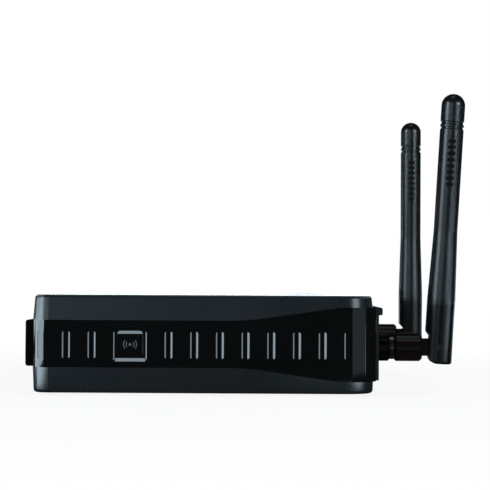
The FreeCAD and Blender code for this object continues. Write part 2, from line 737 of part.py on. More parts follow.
def processor():
    return rounded_box(12, 32, -14, 6, BOARD_TOP, BOARD_TOP + 1.4, 0.4, Z)


def heat_sink():
    base = box(11, 33, -15, 7, BOARD_TOP + 1.5, BOARD_TOP + 3.2)
    fins = [box(11 + 3 * i, 12 + 3 * i, -15, 7, BOARD_TOP + 3, BOARD_TOP + 11) for i in range(8)]
    return fuse(base, *fins)


def memory_chips():
    return [
        box(14, 30, 12, 22, BOARD_TOP, BOARD_TOP + 1.1),
        box(38, 46, -12, -4, BOARD_TOP, BOARD_TOP + 1.6),
    ]


def network_transformers():
    places = (-38.0, -16.0, WAN_MIDDLE)
    return [rounded_box(x - 8, x + 8, 26, 36, BOARD_TOP, BOARD_TOP + 5.6, 0.5, Z) for x in places]


def capacitors():
    sizes = [(50, 36, 4.0, 11.5), (40, 34, 3.15, 8), (50, 22, 3.15, 8), (-56, -16, 3.15, 6.5)]
    cans = []
    for x, y, radius, height in sizes:
        can = rod(radius, (x, y, BOARD_TOP), (x, y, BOARD_TOP + height))
        cans.append(rounded(can, 0.5, lambda e, top=BOARD_TOP + height: e.BoundBox.ZMin > top - 0.01))
    return cans


def choke():
    return rounded_box(36, 43.5, 14, 21.5, BOARD_TOP, BOARD_TOP + 4.2, 1.5, Z)


def crystal():
    return rounded_box(-2, 2.2, -12, -1, BOARD_TOP, BOARD_TOP + 3.5, 2.0, Z)


def lead_sockets():
    return [rod(1.3, (x, 12, BOARD_TOP), (x, 12, BOARD_TOP + 1.5)) for x in (-52.0, -5.0)]


def tube_along(points, radius, bends):
    """Round tube that follows points through arcs of the given radii."""
    path = Part.Wire(bent_path(points, bends))
    start = points[0]
    section = Part.Wire(Part.makeCircle(radius, start, points[1] - start))
    return path.makePipeShell([section], True, True)


def antenna_lead(points, bends):
    """Thin coaxial lead from an antenna jack's tail to its socket on the board."""
    lead = tube_along([Vector(*p) for p in points], 0.6, bends)
    end = points[-1]
    plug = rod(1.6, (end[0], end[1], BOARD_TOP + 1.6), (end[0], end[1], BOARD_TOP + 3.1))
    return fuse(lead, plug)


def right_antenna_lead():
    points = [
        (60, 45.6, 16.7),
        (60, 39, 16.7),
        (56, 26, 20),
        (36, 24.5, 20),
        (4, 24.5, 17),
        (-5, 12, 15),
        (-5, 12, 9.8),
    ]
    return antenna_lead(points, [4.0, 8.0, 8.0, 9.0, 2.6])


def left_antenna_lead():
    points = [
        (-60, 45.6, 16.7),
        (-60, 38, 16.7),
        (-56, 24, 15),
        (-52, 12, 14),
        (-52, 12, 9.8),
    ]
    return antenna_lead(points, [4.0, 8.0, 2.0])


# ---------------------------------------------------------------- fasteners, feet, label


def pan_screw(x, y, seat, length, head_radius, head_height, shank_radius, up):
    """Cross-recess screw: its head rests on z = seat, on the side that up gives, its shank on the other."""
    top = seat + up * head_height
    head = rod(head_radius, (x, y, seat), (x, y, top))
    head = rounded(head, 0.4, lambda e: abs(e.BoundBox.Center.z - top) < 0.01)
    shank = rod(shank_radius, (x, y, seat), (x, y, seat - up * length))
    low, high = sorted((top - up * 0.9, top + up))
    blade = head_radius * 0.55
    cross = fuse(
        box(x - blade, x + blade, y - 0.3, y + 0.3, low, high),
        box(x - 0.3, x + 0.3, y - blade, y + blade, low, high),
    )
    return fuse(head, shank).cut(cross)


def case_screws():
    return [pan_screw(x, y, 6.9, 17.5, 2.8, 2.0, 1.5, -1) for x, y in posts()]


def board_screws():
    return [pan_screw(x, y, BOARD_TOP, 5.0, 2.4, 1.5, 1.25, 1) for x, y in board_screw_places()]


def rubber_feet():
    feet = []
    for x, y in foot_places():
        foot = rod(FOOT_RADIUS, (x, y, 0), (x, y, CASE_BOTTOM + 0.6))
        feet.append(rounded(foot, 0.4, lambda e: e.BoundBox.ZMax < 0.01))
    return feet


def rating_label():
    return rounded_box(-32, 32, -17, 17, CASE_BOTTOM - 0.15, CASE_BOTTOM, 1.5, Z)


# ---------------------------------------------------------------- antennas


def antenna_jack(x):
    """Threaded bulkhead jack through the rear panel, its flange inside."""
    z = ANTENNA_Z
    barrel = rod(THREAD_RADIUS, (x, 52, z), (x, JACK_END, z))
    barrel = chamfered(barrel, 0.3, lambda e: e.BoundBox.YMin > JACK_END - 0.01)
    flange = rod(5.6, (x, POCKET_FLOOR - 1.6 - 1.5, z), (x, POCKET_FLOOR - 1.6, z))
    tail = rod(2.2, (x, 45.6, z), (x, 53, z))
    bore = rod(2.3, (x, 60.2, z), (x, 65, z))
    needle = rod(0.45, (x, 59.5, z), (x, 62.4, z))
    return fuse(fuse(barrel, flange, tail).cut(bore), needle)


def jack_nut(x):
    """Hexagon nut on the floor of the panel's pocket."""
    corner = 4.0 / math.cos(math.pi / 6)
    seat = POCKET_FLOOR + 0.45
    points = []
    for i in range(7):
        angle = i * math.pi / 3
        points.append(Vector(x + corner * math.cos(angle), seat, ANTENNA_Z + corner * math.sin(angle)))
    nut = prism(Part.makePolygon(points), Vector(0, 1.8, 0))
    return nut.cut(rod(THREAD_RADIUS + 0.03, (x, 50, ANTENNA_Z), (x, 70, ANTENNA_Z)))


def jack_washer(x):
    return ring(4.9, THREAD_RADIUS + 0.1, POCKET_FLOOR, POCKET_FLOOR + 0.4, x, ANTENNA_Z)


def coupling_nut(x):
    """Knurled nut that draws the antenna's plug onto the jack."""
    points = []
    for i in range(2 * NUT_RIDGES + 1):
        radius = NUT_RADIUS if i % 2 else NUT_RADIUS - 0.32
        angle = math.pi * i / NUT_RIDGES
        points.append(Vector(x + radius * math.cos(angle), NUT_START, ANTENNA_Z + radius * math.sin(angle)))
    blank = prism(Part.makePolygon(points), Vector(0, NUT_END - NUT_START, 0))
    limit = rod(NUT_RADIUS + 0.05, (x, NUT_START, ANTENNA_Z), (x, NUT_END, ANTENNA_Z))
    limit = chamfered(limit, 0.6, lambda e: isinstance(e.Curve, Part.Circle))
    nut = blank.common(limit)
    nut = nut.cut(rod(THREAD_RADIUS + 0.07, (x, NUT_START - 1, ANTENNA_Z), (x, NUT_END - 1.2, ANTENNA_Z)))
    return nut.cut(rod(2.65, (x, NUT_START, ANTENNA_Z), (x, NUT_END + 1, ANTENNA_Z)))


def plug_body(x):
    """Metal core of the antenna's plug: contact tube, shoulder inside the nut, bright collar and tail."""
    z = ANTENNA_Z
    steps = [
        (2.15, 60.6, 63.6),
        (3.1, 63.5, NUT_END - 1.3),
        (2.55, NUT_END - 1.4, NUT_END + 0.2),
        (4.3, NUT_END + 0.1, SLEEVE_START - 0.1),
        (3.0, SLEEVE_START - 0.2, 72.0),
    ]
    body = fuse(*[rod(radius, (x, start, z), (x, end, z)) for radius, start, end in steps])
    return body.cut(rod(1.5, (x, 60, z), (x, 63.2, z)))


def elbow(x):
    """Sleeve that turns on the plug, with the flat tongue that the mast's fork tilts on."""
    z = ANTENNA_Z
    sleeve = rod(SLEEVE_RADIUS, (x, SLEEVE_START, z), (x, SLEEVE_END, z))
    sleeve = chamfered(sleeve, 0.8, lambda e: isinstance(e.Curve, Part.Circle))
    half = TONGUE_HALF_THICK
    tongue = box(x - half, x + half, SLEEVE_END - 0.5, HINGE_Y, z - TONGUE_HALF_HIGH, z + TONGUE_HALF_HIGH)
    eye = rod(TONGUE_HALF_HIGH, (x - half, HINGE_Y, z), (x + half, HINGE_Y, z))
    shape = fuse(sleeve, tongue, eye)
    shape = shape.cut(rod(3.05, (x, SLEEVE_START - 1, z), (x, 72.3, z)))
    return shape.cut(rod(PIN_RADIUS + 0.04, (x - 5, HINGE_Y, z), (x + 5, HINGE_Y, z)))


def hinge_pin(x):
    return rod(PIN_RADIUS, (x - 4.75, HINGE_Y, ANTENNA_Z), (x + 4.75, HINGE_Y, ANTENNA_Z))


def antenna_base():
    """Forked foot of the mast about its hinge at the origin, +Z up the mast, -Y towards the case."""
    foot = Part.makeCylinder(BASE_RADIUS, SEAM_HEIGHT - BASE_LOW, Vector(0, 0, BASE_LOW))
    foot = rounded(foot, 0.9, lambda e: e.BoundBox.ZMax < BASE_LOW + 0.01)
    wide = 8.0
    bend = 3.0
    diagonal = bend * (1 - math.cos(math.pi / 4))
    upper, lower = Vector(-wide, -9.0, 9.9), Vector(-wide, -3.5, 3.9)
    inner = Vector(-wide, -3.5, BASE_LOW + bend)
    arc_middle = Vector(-wide, -3.5 + diagonal, BASE_LOW + diagonal)
    arc_end = Vector(-wide, -0.5, BASE_LOW)
    below, corner = Vector(-wide, -0.5, BASE_LOW - 3), Vector(-wide, -9.0, BASE_LOW - 3)
    edges = [
        Part.makeLine(upper, lower),
        Part.makeLine(lower, inner),
        Part.Arc(inner, arc_middle, arc_end).toShape(),
        Part.makeLine(arc_end, below),
        Part.makeLine(below, corner),
        Part.makeLine(corner, upper),
    ]
    foot = foot.cut(prism(Part.Wire(edges), Vector(2 * wide, 0, 0)))
    half = TONGUE_HALF_THICK + 0.2
    room = TONGUE_HALF_HIGH + 0.2
    slot = fuse(
        box(-half, half, -9, 0, -9, room),
        box(-half, half, -1, room, -9, 0),
        Part.makeCylinder(room, 2 * half, Vector(-half, 0, 0), X),
    )
    foot = foot.cut(slot)
    foot = foot.cut(Part.makeCylinder(PIN_RADIUS + 0.04, 20, Vector(-10, 0, 0), X))
    return foot.cut(Part.makeCylinder(2.6, 12, Vector(0, 0, SEAM_HEIGHT - 6.0)))


def antenna_mast():
    """Tapered rubber-like whip with two grip rings near its top and a column of recessed bars on its +X side,
    hollow for the radiator."""
    groove = MAST_RADIUS - 0.35
    top = MAST_TOP
    seat = SEAM_HEIGHT + 0.03
    profile = [
        (2.6, seat),
        (BASE_RADIUS, seat),
        (BASE_RADIUS, SEAM_HEIGHT + 1.6),
        (MAST_RADIUS, TAPER_END),
        (MAST_RADIUS, top - 2.6),
        (groove, top - 2.3),
        (groove, top - 1.9),
        (MAST_RADIUS, top - 1.6),
        (MAST_RADIUS, top - 0.9),
        (groove, top - 0.6),
        (groove, top),
        (2.6, top),
    ]
    points = [Vector(r, 0, h) for r, h in profile]
    mast = Part.Face(Part.makePolygon(points + points[:1])).revolve(Vector(0, 0, 0), Z, 360)
    bars = []
    for i in range(GRIP_COUNT):
        bar = dish(3.2, 1.3, 0.45, 0.47, (0.8, 0.8, 0.4, 0.4))
        bars.append(on_side(bar, (MAST_RADIUS, 0, GRIP_FIRST + GRIP_PITCH * i), 0))
    return mast.cut(Part.makeCompound(bars))


def antenna_cap():
    """Domed end that plugs the mast."""
    centre = ANTENNA_TIP - MAST_RADIUS
    dome = Part.makeSphere(MAST_RADIUS, Vector(0, 0, centre))
    barrel = Part.makeCylinder(MAST_RADIUS, centre - MAST_TOP, Vector(0, 0, MAST_TOP + 0.05))
    barrel = chamfered(barrel, 0.25, lambda e: e.BoundBox.ZMax < MAST_TOP + 0.06)
    spigot = Part.makeCylinder(2.5, 5.0, Vector(0, 0, MAST_TOP - 4.5))
    dome = dome.cut(Part.makeBox(20, 20, 20, Vector(-10, -10, centre - 20)))
    return fuse(dome, barrel, spigot)


def antenna_radiator():
    """Brass dipole sleeve and the wire above it."""
    sleeve = Part.makeCylinder(2.2, 26, Vector(0, 0, SEAM_HEIGHT + 4.0))
    wire = Part.makeCylinder(0.7, 28, Vector(0, 0, SEAM_HEIGHT + 29.0))
    lead = Part.makeCylinder(0.9, 13.0, Vector(0, 0, SEAM_HEIGHT - 5.5))
    return fuse(sleeve, wire, lead)


def on_hinge(shape, x, lean):
    """Stands a mast piece on its hinge, leaning back by lean degrees."""
    placed = shape.copy()
    placed.Placement = Placement(Vector(x, HINGE_Y, ANTENNA_Z), Rotation(X, -lean))
    return placed


def save_antenna(side, x, lean):
    save(side + "_coupling_nut", coupling_nut(x))
    save(side + "_plug_body", plug_body(x))
    save(side + "_elbow", elbow(x))
    save(side + "_hinge_pin", hinge_pin(x))
    save(side + "_antenna_base", on_hinge(antenna_base(), x, lean))
    save(side + "_antenna_mast", on_hinge(antenna_mast(), x, lean))
    save(side + "_antenna_cap", on_hinge(antenna_cap(), x, lean))
    save(side + "_radiator", on_hinge(antenna_radiator(), x, lean))
    save(side + "_antenna_jack", antenna_jack(x))


def main():
    os.makedirs(OUT, exist_ok=True)
    save("top_shell", top_shell())
    save("bottom_shell", bottom_shell())
    save("right_trim", trim(True))
    save("left_trim", mirrored(trim(False)))
    save("front_lens", front_lens())
    save("light_guide", light_guide())
    save("rear_panel", rear_panel())
    save("rubber_feet", *rubber_feet())
    save("case_screws", *case_screws())
    save("rating_label", rating_label())

    save("circuit_board", circuit_board())
    save("board_screws", *board_screws())
    save("indicator_lamps", *indicator_lamps())
    save("radio_shield", radio_shield())
    save("processor", processor())
    save("heat_sink", heat_sink())
    save("memory_chips", *memory_chips())
    save("network_transformers", *network_transformers())
    save("capacitors", *capacitors())
    save("choke", choke())
    save("crystal", crystal())
    save("lead_sockets", *lead_sockets())
    save("right_antenna_lead", right_antenna_lead())
    save("left_antenna_lead", left_antenna_lead())

    save("wan_socket", socket_body([WAN_MIDDLE]))
    save("wan_socket_shield", socket_shield([WAN_MIDDLE]))
    save("lan_sockets", socket_body(lan_places()))
    save("lan_socket_shield", socket_shield(lan_places()))
    save("socket_contacts", *socket_contacts([WAN_MIDDLE] + lan_places()))
    save("power_inlet", power_inlet())
    save("power_inlet_pin", power_inlet_pin())

    save("pairing_button", pairing_button())
    save("pairing_plunger", pairing_plunger())
    save("pairing_switch", pairing_switch())
    save("power_button", power_button())
    save("power_switch", power_switch())
    save("reset_button", reset_button())
    save("reset_switch", reset_switch())

    save("jack_nuts", jack_nut(-ANTENNA_X), jack_nut(ANTENNA_X))
    save("jack_washers", jack_washer(-ANTENNA_X), jack_washer(ANTENNA_X))
    save_antenna("right", ANTENNA_X, RIGHT_LEAN)
    save_antenna("left", -ANTENNA_X, 0.0)


main()
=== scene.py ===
"""Looks, light and camera for the desktop wireless receiver unit."""
import json
import math

import bpy
from mathutils import Matrix, Vector


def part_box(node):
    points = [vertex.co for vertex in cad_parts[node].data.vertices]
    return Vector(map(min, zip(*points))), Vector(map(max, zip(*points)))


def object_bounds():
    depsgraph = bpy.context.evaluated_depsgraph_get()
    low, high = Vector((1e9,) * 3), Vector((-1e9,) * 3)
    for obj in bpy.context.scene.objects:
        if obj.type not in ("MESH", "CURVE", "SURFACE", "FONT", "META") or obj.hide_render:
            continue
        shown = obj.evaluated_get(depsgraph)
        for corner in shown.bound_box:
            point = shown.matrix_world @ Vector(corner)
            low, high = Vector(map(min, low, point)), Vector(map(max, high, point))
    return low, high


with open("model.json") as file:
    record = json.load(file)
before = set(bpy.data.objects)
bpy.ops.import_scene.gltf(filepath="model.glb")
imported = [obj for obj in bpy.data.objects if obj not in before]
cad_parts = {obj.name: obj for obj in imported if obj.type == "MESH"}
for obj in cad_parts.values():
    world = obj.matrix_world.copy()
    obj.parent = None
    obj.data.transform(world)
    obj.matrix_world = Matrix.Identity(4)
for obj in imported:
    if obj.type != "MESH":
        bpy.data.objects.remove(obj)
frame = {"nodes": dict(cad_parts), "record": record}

CAD_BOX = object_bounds()
NODES = frame["nodes"]
MM = 0.001

# ------------------------------------------------------------------ camera

FRAME_PX = 490.0
FOCAL_PX = 1782.0
SENSOR_WIDTH = 36.0
# Where lines along X seem to meet, right of and below the middle of the frame.
VANISHING_PX = (17.0, 32.5)
CAMERA_ROLL = math.radians(0.29)
CAMERA_AT = Vector((0.694, 0.0202, 0.0411))


def turned(direction, side, angle):
    """Both directions, once the first has turned towards the second by this angle."""
    cosine, sine = math.cos(angle), math.sin(angle)
    return direction * cosine + side * sine, side * cosine - direction * sine


def make_camera():
    """Camera that looks along -X, with its small roll, yaw and pitch in that order."""
    data = bpy.data.cameras.new("camera")
    data.sensor_width = SENSOR_WIDTH
    data.lens = FOCAL_PX / FRAME_PX * SENSOR_WIDTH
    data.clip_start = 0.01
    data.clip_end = 50.0
    yaw = math.atan2(VANISHING_PX[0], FOCAL_PX)
    pitch = math.atan2(VANISHING_PX[1] * math.cos(yaw), FOCAL_PX)
    right, up = turned(Vector((0, 1, 0)), Vector((0, 0, 1)), CAMERA_ROLL)
    ahead, right = turned(Vector((-1, 0, 0)), right, -yaw)
    ahead, up = turned(ahead, up, pitch)
    camera = bpy.data.objects.new("camera", data)
    camera.matrix_world = Matrix.Translation(CAMERA_AT) @ Matrix((right, up, -ahead)).transposed().to_4x4()
    bpy.context.scene.collection.objects.link(camera)
    bpy.context.scene.camera = camera


# ------------------------------------------------------------------ node helpers

NOISE_ROUGHNESS = 0.55


class Tree:
    """Short names for building the nodes of a material or of the world."""

    def __init__(self, tree):
        self.tree = tree
        self.tree.nodes.clear()

    def add(self, kind, **settings):
        node = self.tree.nodes.new(kind)
        for key, value in settings.items():
            setattr(node, key, value)
        return node

    def link(self, source, target):
        self.tree.links.new(source, target)

    def plug(self, socket, value):
        """Sets a socket from a number, a colour or another node's output."""
        if isinstance(value, bpy.types.NodeSocket):
            self.link(value, socket)
        elif isinstance(value, tuple) and len(value) == 3 and socket.type == "RGBA":
            socket.default_value = (*value, 1.0)
        else:
            socket.default_value = value

    def math(self, operation, first, second=0.0, third=0.0, clamp=False):
        node = self.add("ShaderNodeMath", operation=operation, use_clamp=clamp)
        for socket, value in zip(node.inputs, (first, second, third)):
            self.plug(socket, value)
        return node.outputs[0]

    def length(self, across, up):
        """Length of the vector with these two parts."""
        squares = [self.math("MULTIPLY", side, side) for side in (across, up)]
        return self.math("SQRT", self.math("ADD", *squares))

    def position(self):
        """Coordinates that stay with the piece when its body moves."""
        return self.add("ShaderNodeTexCoord").outputs["Object"]

    def split(self, vector):
        node = self.add("ShaderNodeSeparateXYZ")
        self.link(vector, node.inputs[0])
        return node.outputs

    def noise(self, scale, detail):
        node = self.add("ShaderNodeTexNoise")
        self.link(self.position(), node.inputs["Vector"])
        node.inputs["Scale"].default_value = scale
        node.inputs["Detail"].default_value = detail
        node.inputs["Roughness"].default_value = NOISE_ROUGHNESS
        return node.outputs[0]

    def ramp(self, value, low, high, start=0.0, end=1.0, smooth=False):
        """Maps value from start..end to low..high."""
        node = self.add("ShaderNodeMapRange", clamp=True)
        if smooth:
            node.interpolation_type = "SMOOTHSTEP"
        for name, number in (("From Min", start), ("From Max", end), ("To Min", low), ("To Max", high)):
            node.inputs[name].default_value = number
        self.plug(node.inputs["Value"], value)
        return node.outputs["Result"]

    def window(self, value, low, high, soft):
        """1 between low and high, with a soft change this far either side of both."""
        rise = self.ramp(value, 0.0, 1.0, low - soft, low + soft, smooth=True)
        fall = self.ramp(value, 1.0, 0.0, high - soft, high + soft, smooth=True)
        return self.math("MULTIPLY", rise, fall)

    def around(self, value, middle, spread, start, end, smooth=False):
        """Maps value from start..end to a range of this spread around its middle."""
        return self.ramp(value, middle - spread / 2, middle + spread / 2, start, end, smooth)

    def mix(self, factor, first, second):
        node = self.add("ShaderNodeMix", data_type="RGBA")
        self.plug(node.inputs["Factor"], factor)
        self.plug(node.inputs[6], first)
        self.plug(node.inputs[7], second)
        return node.outputs[2]

    def blend_shaders(self, factor, first, second):
        node = self.add("ShaderNodeMixShader")
        for socket, value in zip(node.inputs, (factor, first, second)):
            self.link(value, socket)
        return node.outputs[0]

    def bump(self, height, strength, depth):
        node = self.add("ShaderNodeBump")
        node.inputs["Strength"].default_value = strength
        node.inputs["Distance"].default_value = depth
        self.link(height, node.inputs["Height"])
        return node.outputs[0]

    def surface(self, colour, roughness, relief, **constants):
        shader = self.add("ShaderNodeBsdfPrincipled")
        self.plug(shader.inputs["Base Color"], colour)
        self.plug(shader.inputs["Roughness"], roughness)
        self.link(relief, shader.inputs["Normal"])
        for name, value in constants.items():
            shader.inputs[name.replace("_", " ")].default_value = value
        self.finish(shader.outputs[0])

    def finish(self, shader):
        self.link(shader, self.add("ShaderNodeOutputMaterial").inputs["Surface"])


def new_material(name):
    """An empty material and the helper that fills it."""
    material = bpy.data.materials.new(name)
    material.use_nodes = True
    return material, Tree(material.node_tree)


def scaled(colour, factor):
    return tuple(channel * factor for channel in colour)


# ------------------------------------------------------------------ materials

# Indices of refraction.
PLAIN = 1.5
ACRYLIC = 1.49
SATIN_BASE = 1.6
COATED = 1.85

# Noises: bumps per metre and detail.
CLOUDS = (25.0, 1.0)
GLOSS_CLOUDS = (60.0, 1.0)
POLISH_RIPPLES = (900.0, 2.0)
GRAIN_DETAIL = 2.0
STAINS = (220.0, 4.0)
WEAR = (900.0, 4.0)
FINE_SCRATCHES = (2500.0, 3.0)
ACRYLIC_HAZE = (300.0, 3.0)
# The part of a noise's range that is stretched to the whole range of a colour or a gloss.
WIDE_RANGE = (0.2, 0.8)
NARROW_RANGE = (0.3, 0.7)
FINE_GRAIN = 0.1 * MM
RIPPLE_STRENGTH = 0.004
SCRATCH_STRENGTH = 0.04
METAL_GLOSS_SPREAD = 0.1

# Plastics: colour, roughness, the grain's strength, its bumps per metre and its depth, how much the gloss
# varies, and the index of refraction.
PLASTICS = {
    "shell_satin": ((0.006, 0.009, 0.0115), 0.26, 0.03, 4000.0, FINE_GRAIN, 0.04, COATED),
    "piano_black": ((0.0016, 0.002, 0.0018), 0.05, 0.004, 900.0, FINE_GRAIN, 0.02, COATED),
    "smoked_lens": ((0.002, 0.0022, 0.0024), 0.07, 0.004, 900.0, FINE_GRAIN, 0.02, PLAIN),
    "panel_satin": ((0.012, 0.014, 0.015), 0.38, 0.06, 3500.0, FINE_GRAIN, 0.08, PLAIN),
    "whip_satin": ((0.003, 0.0045, 0.0055), 0.23, 1.0, 1900.0, 0.06 * MM, 0.05, COATED),
    "whip_base_satin": ((0.002, 0.0028, 0.003), 0.22, 1.0, 1900.0, 0.04 * MM, 0.05, SATIN_BASE),
    "elbow_gloss": ((0.005, 0.0028, 0.002), 0.2, 0.01, 900.0, FINE_GRAIN, 0.04, PLAIN),
    "foot_rubber": ((0.012, 0.012, 0.012), 0.75, 0.2, 2500.0, FINE_GRAIN, 0.1, PLAIN),
    "socket_plastic": ((0.012, 0.012, 0.013), 0.42, 0.06, 3500.0, FINE_GRAIN, 0.08, PLAIN),
    "lan_amber": ((0.2, 0.105, 0.012), 0.4, 0.05, 3500.0, FINE_GRAIN, 0.08, PLAIN),
    "chip_epoxy": ((0.02, 0.02, 0.021), 0.5, 0.1, 3500.0, FINE_GRAIN, 0.1, PLAIN),
    "board_laminate": ((0.01, 0.09, 0.035), 0.35, 0.05, 1200.0, FINE_GRAIN, 0.1, PLAIN),
    "label_film": ((0.45, 0.46, 0.47), 0.4, 0.02, 3000.0, FINE_GRAIN, 0.06, PLAIN),
    "lead_jacket": ((0.02, 0.02, 0.021), 0.5, 0.05, 3000.0, FINE_GRAIN, 0.06, PLAIN),
    "lamp_resin": ((0.6, 0.75, 0.45), 0.2, 0.01, 900.0, FINE_GRAIN, 0.04, PLAIN),
}

# Metals: colour, roughness, and the tint of what they mirror at a glancing angle.
WHITE_EDGES = (1.0, 1.0, 1.0, 1.0)
DARK_EDGES = (0.08, 0.08, 0.08, 1.0)
METALS = {
    "screw_steel": ((0.42, 0.42, 0.43), 0.35, WHITE_EDGES),
    "tinned_sheet": ((0.66, 0.67, 0.68), 0.32, WHITE_EDGES),
    "aluminium": ((0.66, 0.67, 0.69), 0.35, WHITE_EDGES),
    "gold_flash": ((0.83, 0.6, 0.25), 0.25, WHITE_EDGES),
    "black_nickel": ((0.05, 0.042, 0.036), 0.24, DARK_EDGES),
    "collar_nickel": ((0.3, 0.3, 0.31), 0.2, DARK_EDGES),
    "pin_steel": ((0.12, 0.12, 0.125), 0.35, WHITE_EDGES),
    "brass": ((0.72, 0.48, 0.2), 0.35, WHITE_EDGES),
}

# The material of each slot in the record.
SLOTS = {
    "shell_plastic": "shell_satin",
    "trim_plastic": "piano_black",
    "lens_plastic": "smoked_lens",
    "panel_plastic": "panel_satin",
    "button_plastic": "button_gloss",
    "foot_rubber": "foot_rubber",
    "screw_steel": "screw_steel",
    "label_film": "label_film",
    "board_laminate": "board_laminate",
    "chip_epoxy": "chip_epoxy",
    "tinned_sheet": "tinned_sheet",
    "sink_aluminium": "aluminium",
    "can_aluminium": "aluminium",
    "socket_plastic": "socket_plastic",
    "lan_plastic": "lan_amber",
    "gold_contact": "gold_flash",
    "jack_metal": "gold_flash",
    "nut_metal": "black_nickel",
    "plug_metal": "collar_nickel",
    "elbow_plastic": "elbow_gloss",
    "whip_plastic": "whip_satin",
    "pin_steel": "pin_steel",
    "radiator_metal": "brass",
    "light_acrylic": "clear_guide",
    "lamp_resin": "lamp_resin",
    "lead_jacket": "lead_jacket",
}
# Nodes with a finish of their own, apart from the rest of their slot.
OWN_FINISH = {"right_antenna_base": "whip_base_satin", "left_antenna_base": "whip_base_satin"}

# The sign printed on the pairing button: a dot between two pairs of arcs. The ink reaches down the cap's
# rounded edge no further than PRINT_DEPTH.
SIGN_BELOW_TOP = 5.2 * MM
SIGN_DOT = 0.5 * MM
SIGN_ARCS = (1.35 * MM, 2.25 * MM)
SIGN_HALF_LINE = 0.17 * MM
SIGN_BLUR = 0.05 * MM
SIGN_SIDES = (0.76, 0.79)  # sines of the angle from upright at which the arcs fade in
SIGN_INK = (0.075, 0.085, 0.09)
INK_ROUGHENS = 0.35
PRINT_DEPTH = 0.05 * MM
PRINT_FADE = 0.02 * MM


def moulded(name, colour, roughness, grain, bumps, depth, gloss_spread, refraction):
    """Moulded plastic: fine grain in its relief, and faint cloudiness in colour and gloss."""
    material, t = new_material(name)
    cloud = t.ramp(t.noise(*CLOUDS), 0.0, 1.0, *WIDE_RANGE, smooth=True)
    shade = t.mix(cloud, scaled(colour, 0.9), scaled(colour, 1.12))
    gloss = t.around(t.noise(*GLOSS_CLOUDS), roughness, gloss_spread, *WIDE_RANGE, smooth=True)
    relief = t.bump(t.noise(bumps, GRAIN_DETAIL), grain, depth)
    t.surface(shade, gloss, relief, IOR=refraction)
    return material


def metal(name, colour, roughness, edges):
    """Metal with faint stains, and fine wear in its gloss and relief."""
    material, t = new_material(name)
    stain = t.ramp(t.noise(*STAINS), 0.0, 1.0, *NARROW_RANGE)
    shade = t.mix(stain, scaled(colour, 0.85), scaled(colour, 1.1))
    gloss = t.around(t.noise(*WEAR), roughness, METAL_GLOSS_SPREAD, *NARROW_RANGE)
    relief = t.bump(t.noise(*FINE_SCRATCHES), SCRATCH_STRENGTH, FINE_GRAIN)
    t.surface(shade, gloss, relief, Metallic=1.0, Specular_Tint=edges)
    return material


def marked_button():
    """Gloss cap with its printed sign."""
    material, t = new_material("button_gloss")
    low, high = (Vector(corner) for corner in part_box("pairing_button"))
    x, y, z = t.split(t.position())
    across = t.math("SUBTRACT", y, (low.y + high.y) / 2)
    radius = t.length(across, t.math("SUBTRACT", z, high.z - SIGN_BELOW_TOP))

    def inside(distance, limit):
        return t.ramp(distance, 1.0, 0.0, limit - SIGN_BLUR, limit + SIGN_BLUR)

    off_ring = [t.math("ABSOLUTE", t.math("SUBTRACT", radius, size)) for size in SIGN_ARCS]
    rings = [inside(distance, SIGN_HALF_LINE) for distance in off_ring]
    sides = t.ramp(t.math("DIVIDE", t.math("ABSOLUTE", across), radius), 0.0, 1.0, *SIGN_SIDES)
    arcs = t.math("MULTIPLY", t.math("ADD", *rings), sides)
    outer_face = t.ramp(x, 0.0, 1.0, high.x - PRINT_DEPTH, high.x - PRINT_DEPTH + PRINT_FADE)
    sign = t.math("MULTIPLY", t.math("ADD", arcs, inside(radius, SIGN_DOT)), outer_face, clamp=True)
    cap = t.mix(t.noise(*GLOSS_CLOUDS), (0.0018, 0.0021, 0.002), (0.0024, 0.0027, 0.0026))
    gloss = t.math("MULTIPLY_ADD", sign, INK_ROUGHENS, t.ramp(t.noise(*GLOSS_CLOUDS), 0.05, 0.08))
    relief = t.bump(t.noise(*POLISH_RIPPLES), RIPPLE_STRENGTH, FINE_GRAIN)
    t.surface(t.mix(sign, cap, SIGN_INK), gloss, relief, IOR=COATED)
    return material


def clear_guide():
    """Clear acrylic that leads the lamps' light to the front."""
    material, t = new_material("clear_guide")
    tint = t.mix(t.noise(*GLOSS_CLOUDS), (0.9, 0.93, 0.95), (0.96, 0.97, 0.99))
    gloss = t.ramp(t.noise(*ACRYLIC_HAZE), 0.05, 0.15, *NARROW_RANGE)
    relief = t.bump(t.noise(*POLISH_RIPPLES), RIPPLE_STRENGTH, FINE_GRAIN)
    t.surface(tint, gloss, relief, Transmission_Weight=1.0, IOR=ACRYLIC)
    return material


def dress_nodes():
    """Gives every CAD node the material of its slot in the record, or of its own where it has one."""
    materials = {name: moulded(name, *finish) for name, finish in PLASTICS.items()}
    materials.update({name: metal(name, *finish) for name, finish in METALS.items()})
    materials["button_gloss"] = marked_button()
    materials["clear_guide"] = clear_guide()
    for part in frame["record"]["subparts"]:
        finish = OWN_FINISH.get(part["node"], SLOTS[part["material_slot"]])
        for slot in NODES[part["node"]].material_slots:
            slot.material = materials[finish]


# ------------------------------------------------------------------ studio

WHITE = (1.0, 1.0, 1.0)
SKY = (0.77, 0.95, 1.07)
NEAR_WHITE = (0.94, 1.0, 1.02)
WARM = (1.0, 0.8, 0.68)
DARK = 0.02  # radiance that everything else in the studio mirrors

EVERYTHING = ()
CASE = ("top_shell", "bottom_shell", "right_trim", "left_trim")
TOP = ("top_shell",)
BOTTOM = ("bottom_shell",)
TOP_AND_LEFT = ("top_shell", "left_trim")
BUTTON = ("right_trim", "pairing_button")
ELBOWS = ("right_elbow", "left_elbow", "right_coupling_nut", "left_coupling_nut")

